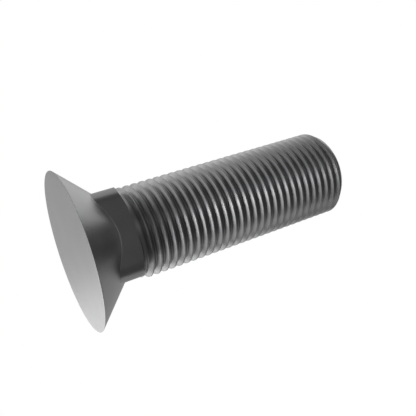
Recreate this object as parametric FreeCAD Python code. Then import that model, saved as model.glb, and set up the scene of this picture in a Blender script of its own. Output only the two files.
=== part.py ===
# Plow bolt: a flat countersunk head, a square neck under it and a threaded shank, forged in one piece.
# Millimetres. The bolt stands on its head: the origin is the centre of the flat face, +Z runs to the tip.
import FreeCAD, Part
import math
import os

# Head: a flat face, a sharp rim and a countersunk underside.
HEAD_DIAMETER = 27.1
HEAD_ANGLE = 90.0               # included angle of the countersink

# Square neck, which keeps the bolt from turning in its hole.
NECK_ACROSS_FLATS = 14.8
NECK_CORNER_RADIUS = 2.3
NECK_END = 8.85                 # from the head face
NECK_CHAMFER_DIAMETER = 16.2    # circle on the neck's end where the corner chamfer starts
NECK_CHAMFER_ANGLE = 25.0       # from the plane of the neck's end
NECK_FILLET = 0.35              # forging radius between neck and countersink

# Threaded shank. The solid has the thread's outside diameter along the threaded length.
LENGTH = 50.0                   # head face to tip
THREAD_DIAMETER = 15.84
RELIEF_DEPTH = 0.72             # of the plain run below the thread's outside diameter, radial
PLAIN_RUN = 0.3                 # length of the plain run past the neck's end
THREAD_START_ANGLE = 45.0       # of the cone that leads from the plain run up to the thread
TIP_CHAMFER = 1.13

TOLERANCE = 0.001               # for finding edges by their place
ORIGIN = FreeCAD.Vector(0, 0, 0)
UP = FreeCAD.Vector(0, 0, 1)


def revolved(outline):
    """Solid of revolution about Z, from (radius, height) points that start and end on the axis."""
    points = [FreeCAD.Vector(radius, 0, height) for radius, height in outline]
    profile = Part.Face(Part.makePolygon(points + points[:1]))
    return profile.revolve(ORIGIN, UP, 360)


def countersunk_head():
    """The head, which narrows at its cone's angle until it is well inside the shank."""
    rim = HEAD_DIAMETER / 2
    inside_shank = THREAD_DIAMETER / 4
    height = (rim - inside_shank) / math.tan(math.radians(HEAD_ANGLE / 2))
    return Part.makeCone(rim, inside_shank, height)


def square_neck():
    """A square with rounded corners, whose end is chamfered round the corners like a nut's."""
    side = NECK_ACROSS_FLATS
    block = Part.makeBox(side, side, NECK_END, FreeCAD.Vector(-side / 2, -side / 2, 0))
    upright = [edge for edge in block.Edges if edge.BoundBox.ZLength > NECK_END - TOLERANCE]
    block = block.makeFillet(NECK_CORNER_RADIUS, upright)
    flare = NECK_END / math.tan(math.radians(NECK_CHAMFER_ANGLE))
    corner_chamfer = Part.makeCone(NECK_CHAMFER_DIAMETER / 2 + flare, NECK_CHAMFER_DIAMETER / 2, NECK_END)
    return block.common(corner_chamfer)


def shank():
    """The plain run inside and just past the neck, the threaded length and the chamfered tip."""
    thread = THREAD_DIAMETER / 2
    relief = thread - RELIEF_DEPTH
    relief_end = NECK_END + PLAIN_RUN
    thread_start = relief_end + RELIEF_DEPTH / math.tan(math.radians(THREAD_START_ANGLE))
    return revolved([
        (0, 0),
        (relief, 0),
        (relief, relief_end),
        (thread, thread_start),
        (thread, LENGTH - TIP_CHAMFER),
        (thread - TIP_CHAMFER, LENGTH),
        (0, LENGTH),
    ])


def in_countersink(point):
    """True for a point of the countersink above its rim."""
    rim = HEAD_DIAMETER / 2
    radius = rim - point.z * math.tan(math.radians(HEAD_ANGLE / 2))
    return point.z > TOLERANCE and abs(math.hypot(point.x, point.y) - radius) < TOLERANCE


def plow_bolt():
    """The whole bolt as one forged and threaded piece."""
    bolt = countersunk_head().fuse([square_neck(), shank()]).removeSplitter().Solids[0]
    neck_root = [edge for edge in bolt.Edges if all(in_countersink(end.Point) for end in edge.Vertexes)]
    return bolt.makeFillet(NECK_FILLET, neck_root)


os.makedirs("parts", exist_ok=True)
plow_bolt().exportStep("parts/plow_bolt.step")
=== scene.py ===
"""The looks of the plow bolt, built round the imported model, which stands on its head with +Z to the tip."""
import math

import bmesh
import bpy
import numpy as np
from mathutils import Matrix, Quaternion, Vector

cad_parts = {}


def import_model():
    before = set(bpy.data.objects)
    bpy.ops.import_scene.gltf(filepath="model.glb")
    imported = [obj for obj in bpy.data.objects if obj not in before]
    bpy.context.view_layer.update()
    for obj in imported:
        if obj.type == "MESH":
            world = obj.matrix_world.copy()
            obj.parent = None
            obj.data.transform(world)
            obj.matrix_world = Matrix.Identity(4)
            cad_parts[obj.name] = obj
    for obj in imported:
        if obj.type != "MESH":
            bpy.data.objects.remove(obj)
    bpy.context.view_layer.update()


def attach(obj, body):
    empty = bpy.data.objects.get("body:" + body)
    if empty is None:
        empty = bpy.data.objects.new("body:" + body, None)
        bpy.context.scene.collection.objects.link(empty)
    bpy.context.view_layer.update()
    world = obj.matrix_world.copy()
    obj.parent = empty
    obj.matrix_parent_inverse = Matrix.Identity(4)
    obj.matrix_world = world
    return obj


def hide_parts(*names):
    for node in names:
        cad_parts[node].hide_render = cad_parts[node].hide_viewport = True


MM = 0.001

# The bolt's sizes in millimetres and degrees. Heights are along the axis, from the head's flat face.
HEAD_DIAMETER = 27.1
HEAD_ANGLE = 90                 # included angle of the countersink
RIM_RADIUS = 0.03               # rounding of the head's sharp rim
NECK_ACROSS_FLATS = 14.8
NECK_CORNER_RADIUS = 2.3
NECK_END = 8.85                 # height
NECK_CHAMFER_DIAMETER = 16.2    # circle on the neck's end where the corner chamfer starts
NECK_CHAMFER_ANGLE = 25         # from the plane of the neck's end
NECK_EDGE_BREAK = 0.06          # least width of that chamfer, along the flats
NECK_FILLET = 0.35              # forging radius between neck and countersink
RELIEF_DEPTH = 0.72             # of the plain run behind the neck, below the thread's crests
PLAIN_RUN = 0.3                 # length of the plain run
LENGTH = 50.0
TIP_CHAMFER = 1.13

HEAD_RADIUS = HEAD_DIAMETER / 2
NECK_HALF = NECK_ACROSS_FLATS / 2

# The thread is right-handed, and rounded at crest and root as rolling leaves it. Its flanks are as steep as
# the photograph's highlights ask for, which makes the groove 0.72 mm deep.
THREAD_DIAMETER = 15.84
TURNS_PER_INCH = 18
CREST_RADIUS = 0.17
ROOT_RADIUS = 0.13
HALF_THREAD_ANGLE = math.radians(38)
CREST_AT_ZERO = 0.890           # height of a crest at angle 0, were the thread to run on through the head

PITCH = 25.4 / TURNS_PER_INCH
THREAD_RADIUS = THREAD_DIAMETER / 2
RELIEF_RADIUS = THREAD_RADIUS - RELIEF_DEPTH
RELIEF_END = NECK_END + PLAIN_RUN
START_CONE_END = RELIEF_END + RELIEF_DEPTH      # a cone of 45 degrees leads up to the thread
CHAMFER_START = LENGTH - TIP_CHAMFER            # and one of 45 degrees down to the tip

# The mesh. Rings are placed by shares of the way out or along.
FLAT_COLUMNS = 11               # from the middle of a neck flat to its edge
CORNER_COLUMNS = 5              # from there to the middle of the corner
FACE_RINGS = (0.2, 0.4, 0.6, 0.8, 0.95)
RIM_STEPS = 6
CONE_RINGS = (0.1, 0.35, 0.6, 0.85)
FILLET_STEPS = 4
CREST_STEPS = 6
ROOT_STEPS = 6
SPARE_TURNS = 2                 # made past each end of the thread, and then held to that end
TIP_RINGS = (0.85, 0.5, 0.2)
SHARP_ANGLE = math.radians(24)  # an edge that turns by more is shaded crisp, as the neck's chamfer is

# The steel. Sizes are in millimetres, and octaves say how fine the detail of a pattern goes.
STEEL_DARK = (0.33, 0.33, 0.335)
STEEL_LIGHT = (0.39, 0.39, 0.395)
COLOUR_PATCH = 5.0
COLOUR_OCTAVES = 3
ROUGHNESS = 0.35
ROUGHNESS_SPREAD = 0.04
GLOSS_PATCH = 2.5
GLOSS_OCTAVES = 4
GRAIN_SIZE = 0.35
GRAIN_OCTAVES = 2
GRAIN_DEPTH = 0.002

# The camera, in millimetres.
CAMERA_PLACE = Vector((7.41, -92.48, -16.95))
CAMERA_TARGET = Vector((0.13, -1.65, 24.25))
CAMERA_ROLL = math.radians(71.858)
FIELD_OF_VIEW = math.radians(40)
SENSOR_WIDTH = 36
NEAREST_SEEN = 1.0

# The studio, in metres and degrees. A direction is an azimuth and an elevation from the bolt's middle.
MIDDLE = Vector((0, 0, LENGTH / 2 * MM))
TENT_RADIUS = 1.5
TENT_RADIANCE = 0.094
TENT_SEGMENTS = 48
OPENING_DIRECTION = (109, -69)
OPENING_HALF_ANGLE = 41.5
LAMP_DISTANCE = 0.8
FLOOR_WIDTH = 1.0
FLOOR_COLOUR = (0.8, 0.8, 0.8)
FLOOR_LIFT = 0.705              # white added to the lit floor, for the eye alone
FLOOR_FADE_START = 0.1          # from the bolt's axis
FLOOR_FADE_END = 0.4
FLOOR_GAP = 0.1 * MM            # below the head's face


def rounded(before, corner, after, radius, steps):
    """The arc that rounds a corner of an outline, as steps + 1 points."""
    before, corner, after = (np.array(point, float) for point in (before, corner, after))
    back = (before - corner) / np.linalg.norm(before - corner)
    ahead = (after - corner) / np.linalg.norm(after - corner)
    half = math.acos(np.dot(back, ahead)) / 2
    centre = corner + (back + ahead) / np.linalg.norm(back + ahead) * radius / math.sin(half)
    start = corner + back * radius / math.tan(half) - centre
    end = corner + ahead * radius / math.tan(half) - centre
    sweep = math.pi - 2 * half
    arc = []
    for step in range(steps + 1):
        share = step / steps
        spoke = start * math.sin((1 - share) * sweep) + end * math.sin(share * sweep)
        arc.append(centre + spoke / math.sin(sweep))
    return arc


def column_angles():
    """Angles of the mesh's columns, which are closer together at the neck's round corners."""
    corner_start = math.atan2(NECK_HALF - NECK_CORNER_RADIUS, NECK_HALF)
    eighth = np.concatenate([
        np.linspace(0, corner_start, FLAT_COLUMNS, endpoint=False),
        np.linspace(corner_start, math.pi / 4, CORNER_COLUMNS, endpoint=False),
    ])
    quarter = np.concatenate([eighth, [math.pi / 4], math.pi / 2 - eighth[:0:-1]])
    return np.concatenate([quarter + side * math.pi / 2 for side in range(4)])


def neck_radius(angle):
    """Distance from the axis to the neck's rounded square."""
    from_flat = abs((angle + math.pi / 4) % (math.pi / 2) - math.pi / 4)
    if from_flat <= math.atan2(NECK_HALF - NECK_CORNER_RADIUS, NECK_HALF):
        return NECK_HALF / math.cos(from_flat)
    centre = (NECK_HALF - NECK_CORNER_RADIUS) * math.sqrt(2)
    from_corner = math.pi / 4 - from_flat
    aside = centre * math.sin(from_corner)
    return centre * math.cos(from_corner) + math.sqrt(NECK_CORNER_RADIUS ** 2 - aside ** 2)


def head_and_neck(angle):
    """(radius, height) points at one angle, from the head's face to the end of the plain run."""
    wall = neck_radius(angle)
    chamfer_radius = min(NECK_CHAMFER_DIAMETER / 2, wall - NECK_EDGE_BREAK)
    chamfer_height = (wall - chamfer_radius) * math.tan(math.radians(NECK_CHAMFER_ANGLE))
    rim = np.array((HEAD_RADIUS, 0))
    neck_root = np.array((wall, (HEAD_RADIUS - wall) / math.tan(math.radians(HEAD_ANGLE / 2))))
    wall_end = (wall, NECK_END - chamfer_height)
    points = [(HEAD_RADIUS * share, 0) for share in FACE_RINGS]
    points += rounded((0, 0), rim, neck_root, RIM_RADIUS, RIM_STEPS)
    points += [rim + (neck_root - rim) * share for share in CONE_RINGS]
    points += rounded(rim, neck_root, wall_end, NECK_FILLET, FILLET_STEPS)
    points += [wall_end, (chamfer_radius, NECK_END), (RELIEF_RADIUS, NECK_END), (RELIEF_RADIUS, RELIEF_END)]
    return points


def thread_profile():
    """Offsets along the axis and depths below the crests over one turn, from a crest to the next root."""
    crest_cut = CREST_RADIUS * (1 / math.sin(HALF_THREAD_ANGLE) - 1)    # taken off by the rounding
    sharp_root = PITCH / 2 / math.tan(HALF_THREAD_ANGLE) - crest_cut
    previous_root = (-PITCH / 2, sharp_root)
    crest = (0, -crest_cut)
    root = (PITCH / 2, sharp_root)
    next_crest = (PITCH, -crest_cut)
    points = rounded(previous_root, crest, root, CREST_RADIUS, CREST_STEPS)
    points += rounded(crest, root, next_crest, ROOT_RADIUS, ROOT_STEPS)
    return np.array(points).T


def shank_radius(heights, angles, profile):
    """Radius of the shank: the thread, cut off by the cone that leads up to it and by the tip's chamfer."""
    along = heights - CREST_AT_ZERO - PITCH * angles / (2 * math.pi)
    thread = THREAD_RADIUS - np.interp(along, *profile, period=PITCH)
    start_cone = RELIEF_RADIUS + (heights - RELIEF_END)
    chamfer = THREAD_RADIUS - (heights - CHAMFER_START)
    return np.minimum(thread, np.minimum(start_cone, chamfer))


def thread_rows(angles):
    """Heights and radii of the rows of points along the thread, and how many rows make a turn.

    A row goes once round the bolt and rises by the pitch. In each column, the point nearest to each edge of
    the shank is moved onto it.
    """
    profile = thread_profile()
    first_turn = math.floor(RELIEF_END / PITCH) - SPARE_TURNS
    last_turn = math.ceil(LENGTH / PITCH) + SPARE_TURNS
    turns = np.arange(first_turn, last_turn + 1)[:, None]
    starts = (CREST_AT_ZERO + turns * PITCH + profile[0]).ravel()
    heights = starts[:, None] + PITCH * angles / (2 * math.pi)
    for edge in (RELIEF_END, START_CONE_END, CHAMFER_START, LENGTH):
        nearest = np.argmin(abs(heights - edge), axis=0)
        heights[nearest, np.arange(len(angles))] = edge
    heights = np.clip(heights, RELIEF_END, LENGTH)
    return heights, shank_radius(heights, angles, profile), len(profile[0])


def faces_between(lines):
    """The faces from each line of points to the next, without those that shrink to an edge or a point."""
    faces = []
    for line, following in zip(lines, lines[1:]):
        for corners in zip(line, line[1:], following[1:], following):
            distinct = list(dict.fromkeys(corners))
            if len(distinct) > 2:
                faces.append(distinct)
    return faces


def bolt_mesh():
    """The whole bolt as one closed mesh, in lines of points from the middle of the head to that of the tip.

    Each line goes once round the bolt. A ring ends at its own first point, and a row of the thread at the
    first point of the row one turn on.
    """
    angles = column_angles()
    points = []

    def add_point(radius, angle, height):
        points.append((radius * math.cos(angle) * MM, radius * math.sin(angle) * MM, height * MM))
        return len(points) - 1

    def add_middle(height):
        return [add_point(0, 0, height)] * (len(angles) + 1)

    def add_ring(radii, heights):
        ring = [add_point(*place) for place in zip(radii, angles, heights)]
        return ring + ring[:1]

    def add_tip_ring(share):
        tip_radius = (THREAD_RADIUS - TIP_CHAMFER) * share
        return add_ring([tip_radius] * len(angles), [LENGTH] * len(angles))

    lines = [add_middle(0)]
    outlines = np.array([head_and_neck(angle) for angle in angles])
    for ring_radii, ring_heights in outlines.transpose(1, 2, 0):
        lines.append(add_ring(ring_radii, ring_heights))
    shank_start = lines[-1]
    shank_end = add_tip_ring(1)
    heights, radii, rows_per_turn = thread_rows(angles)

    def thread_point(row, column):
        height = heights[row, column]
        if height <= RELIEF_END:
            return shank_start[column]
        if height >= LENGTH:
            return shank_end[column]
        return add_point(radii[row, column], angles[column], height)

    thread = [[thread_point(row, column) for column in range(len(angles))] for row in range(len(heights))]
    one_turn_on = thread[rows_per_turn:] + thread[-1:] * rows_per_turn
    for row, row_above in zip(thread, one_turn_on):
        row.append(row_above[0])
    lines += thread
    lines += [add_tip_ring(share) for share in TIP_RINGS]
    lines.append(add_middle(LENGTH))

    mesh = bpy.data.meshes.new("bolt")
    mesh.from_pydata(points, [], faces_between(lines))
    mesh.update()
    mesh.shade_smooth()
    mesh.set_sharp_from_angle(angle=SHARP_ANGLE)
    return mesh


def steel():
    """Satin grey steel, a little uneven in colour and gloss, with a fine grain."""
    material = bpy.data.materials.new("satin steel")
    material.use_nodes = True
    nodes, links = material.node_tree.nodes, material.node_tree.links
    shader = nodes["Principled BSDF"]
    shader.inputs["Metallic"].default_value = 1
    place = nodes.new("ShaderNodeTexCoord")

    def mottle(size, octaves):
        noise = nodes.new("ShaderNodeTexNoise")
        noise.inputs["Scale"].default_value = 1 / (size * MM)
        noise.inputs["Detail"].default_value = octaves
        links.new(place.outputs["Object"], noise.inputs["Vector"])
        return noise.outputs["Fac"]

    colour = nodes.new("ShaderNodeMix")
    colour.data_type = "RGBA"
    colour.inputs["A"].default_value = (*STEEL_DARK, 1)
    colour.inputs["B"].default_value = (*STEEL_LIGHT, 1)
    links.new(mottle(COLOUR_PATCH, COLOUR_OCTAVES), colour.inputs["Factor"])
    links.new(colour.outputs["Result"], shader.inputs["Base Color"])

    gloss = nodes.new("ShaderNodeMapRange")
    gloss.inputs["To Min"].default_value = ROUGHNESS - ROUGHNESS_SPREAD
    gloss.inputs["To Max"].default_value = ROUGHNESS + ROUGHNESS_SPREAD
    links.new(mottle(GLOSS_PATCH, GLOSS_OCTAVES), gloss.inputs["Value"])
    links.new(gloss.outputs["Result"], shader.inputs["Roughness"])

    grain = nodes.new("ShaderNodeBump")
    grain.inputs["Strength"].default_value = 1
    grain.inputs["Distance"].default_value = GRAIN_DEPTH * MM
    links.new(mottle(GRAIN_SIZE, GRAIN_OCTAVES), grain.inputs["Height"])
    links.new(grain.outputs["Normal"], shader.inputs["Normal"])
    return material


def add_object(name, data):
    """A new object in the scene."""
    made = bpy.data.objects.new(name, data)
    bpy.context.collection.objects.link(made)
    return made


def in_direction(azimuth, elevation):
    """Unit vector from the bolt's middle, from angles in degrees."""
    around, up = math.radians(azimuth), math.radians(elevation)
    return Vector((math.cos(around) * math.cos(up), math.sin(around) * math.cos(up), math.sin(up)))


def world():
    """A white world, seen behind the bolt and, through the tent's opening, reflected in it."""
    made = bpy.data.worlds.new("studio")
    bpy.context.scene.world = made
    made.use_nodes = True
    background = made.node_tree.nodes["Background"]
    background.inputs["Color"].default_value = (1, 1, 1, 1)
    background.inputs["Strength"].default_value = 1


def dark_cloth():
    """Cloth that gives the same faint light all over, as if evenly lit."""
    material = bpy.data.materials.new("dark cloth")
    material.use_nodes = True
    nodes, links = material.node_tree.nodes, material.node_tree.links
    nodes.remove(nodes["Principled BSDF"])
    glow = nodes.new("ShaderNodeEmission")
    glow.inputs["Strength"].default_value = TENT_RADIANCE
    links.new(glow.outputs["Emission"], nodes["Material Output"].inputs["Surface"])
    return material


def tent():
    """Dark cloth all round the bolt, hidden from the camera, with one round opening to the white world."""
    opening = in_direction(*OPENING_DIRECTION)
    turn = opening.to_track_quat("Z", "Y").to_matrix().to_4x4()
    shell = bmesh.new()
    bmesh.ops.create_uvsphere(
        shell, u_segments=TENT_SEGMENTS, v_segments=TENT_SEGMENTS, radius=TENT_RADIUS
    )
    edge = TENT_RADIUS * math.cos(math.radians(OPENING_HALF_ANGLE))
    bmesh.ops.delete(shell, geom=[vertex for vertex in shell.verts if vertex.co.z > edge], context="VERTS")
    bmesh.ops.transform(shell, matrix=Matrix.Translation(MIDDLE) @ turn, verts=shell.verts)
    mesh = bpy.data.meshes.new("tent")
    shell.to_mesh(mesh)
    shell.free()
    mesh.materials.append(dark_cloth())
    made = add_object("tent", mesh)
    made.visible_camera = False


def lifted_paint(nodes, links):
    """Shader socket of pale paint, with white added for the camera's rays alone."""
    paint = nodes.new("ShaderNodeBsdfDiffuse")
    paint.inputs["Color"].default_value = (*FLOOR_COLOUR, 1)
    ray = nodes.new("ShaderNodeLightPath")
    lift = nodes.new("ShaderNodeMath")
    lift.operation = "MULTIPLY"
    lift.inputs[1].default_value = FLOOR_LIFT
    links.new(ray.outputs["Is Camera Ray"], lift.inputs[0])
    white = nodes.new("ShaderNodeEmission")
    links.new(lift.outputs["Value"], white.inputs["Strength"])
    both = nodes.new("ShaderNodeAddShader")
    links.new(paint.outputs["BSDF"], both.inputs[0])
    links.new(white.outputs["Emission"], both.inputs[1])
    return both.outputs["Shader"]


def clearness(nodes, links):
    """Value socket: 0 near the bolt, rising smoothly to 1 away from it, and 1 all over the underside."""
    place = nodes.new("ShaderNodeTexCoord")
    reach = nodes.new("ShaderNodeVectorMath")
    reach.operation = "LENGTH"
    links.new(place.outputs["Object"], reach.inputs[0])
    fade = nodes.new("ShaderNodeMapRange")
    fade.interpolation_type = "SMOOTHSTEP"
    fade.inputs["From Min"].default_value = FLOOR_FADE_START
    fade.inputs["From Max"].default_value = FLOOR_FADE_END
    links.new(reach.outputs["Value"], fade.inputs["Value"])
    side = nodes.new("ShaderNodeNewGeometry")
    greater = nodes.new("ShaderNodeMath")
    greater.operation = "MAXIMUM"
    links.new(fade.outputs["Result"], greater.inputs[0])
    links.new(side.outputs["Backfacing"], greater.inputs[1])
    return greater.outputs["Value"]


def pale_floor():
    """Pale paint near the bolt, and clear where only the white world is to be seen."""
    material = bpy.data.materials.new("pale floor")
    material.use_nodes = True
    nodes, links = material.node_tree.nodes, material.node_tree.links
    nodes.remove(nodes["Principled BSDF"])
    clear = nodes.new("ShaderNodeBsdfTransparent")
    seen = nodes.new("ShaderNodeMixShader")
    links.new(clearness(nodes, links), seen.inputs["Fac"])
    links.new(lifted_paint(nodes, links), seen.inputs[1])
    links.new(clear.outputs["BSDF"], seen.inputs[2])
    links.new(seen.outputs["Shader"], nodes["Material Output"].inputs["Surface"])
    return material


def floor():
    """A pale floor that takes the bolt's shadow. It isn't reflected and blocks no light from below."""
    half = FLOOR_WIDTH / 2
    corners = [(-half, -half, 0), (half, -half, 0), (half, half, 0), (-half, half, 0)]
    mesh = bpy.data.meshes.new("floor")
    mesh.from_pydata(corners, [], [(0, 1, 2, 3)])
    mesh.materials.append(pale_floor())
    made = add_object("floor", mesh)
    made.location.z = -FLOOR_GAP
    made.visible_glossy = False
    made.visible_shadow = False


def soft_lamp(name, azimuth, elevation, half_angle, radiance):
    """A round lamp of even radiance, whose radius spans half_angle degrees as seen from the bolt."""
    toward = in_direction(azimuth, elevation)
    data = bpy.data.lights.new(name, "AREA")
    data.shape = "DISK"
    data.size = 2 * LAMP_DISTANCE * math.tan(math.radians(half_angle))
    area = math.pi * data.size ** 2 / 4
    data.energy = radiance * math.pi * area
    made = add_object(name, data)
    place = MIDDLE + toward * LAMP_DISTANCE
    made.matrix_world = Matrix.Translation(place) @ toward.to_track_quat("Z", "Y").to_matrix().to_4x4()
    made.visible_camera = False


def camera():
    """The camera at the photograph's viewing angle."""
    data = bpy.data.cameras.new("camera")
    data.sensor_width = SENSOR_WIDTH
    data.lens = SENSOR_WIDTH / 2 / math.tan(FIELD_OF_VIEW / 2)
    data.clip_start = NEAREST_SEEN * MM
    made = add_object("camera", data)
    looking = CAMERA_TARGET - CAMERA_PLACE
    turn = looking.to_track_quat("-Z", "Y") @ Quaternion((0, 0, 1), CAMERA_ROLL)
    made.matrix_world = Matrix.Translation(CAMERA_PLACE * MM) @ turn.to_matrix().to_4x4()
    bpy.context.scene.camera = made


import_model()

bolt = add_object("bolt", bolt_mesh())
bolt.data.materials.append(steel())
weighted = bolt.modifiers.new("weighted normals", "WEIGHTED_NORMAL")
weighted.keep_sharp = True
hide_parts("plow_bolt")
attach(bolt, "root")

world()
tent()
floor()
# Azimuth, elevation and half angle of each lamp, and its radiance.
soft_lamp("underneath", -60, -68, 10, 3.85)
soft_lamp("underneath right", -10, -60, 12, 1.5)
soft_lamp("low right", 30, -40, 15, 0.84)
soft_lamp("right", 4, 1.5, 19, 0.44)
soft_lamp("high right", 60, 30, 40, 0.39)
soft_lamp("behind", 70, -20, 20, 1.18)
soft_lamp("far behind", 96, -6, 15, 0.5)
soft_lamp("left behind", 139, -8, 14.5, 0.8)
soft_lamp("left", 153, 20, 52, 0.49)
soft_lamp("above", 140, 45, 25, 0.41)
soft_lamp("front", -96, -10, 12, 0.52)
soft_lamp("front above", -95, 60, 20, 0.31)
camera()
bpy.context.scene.view_settings.view_transform = "Standard"
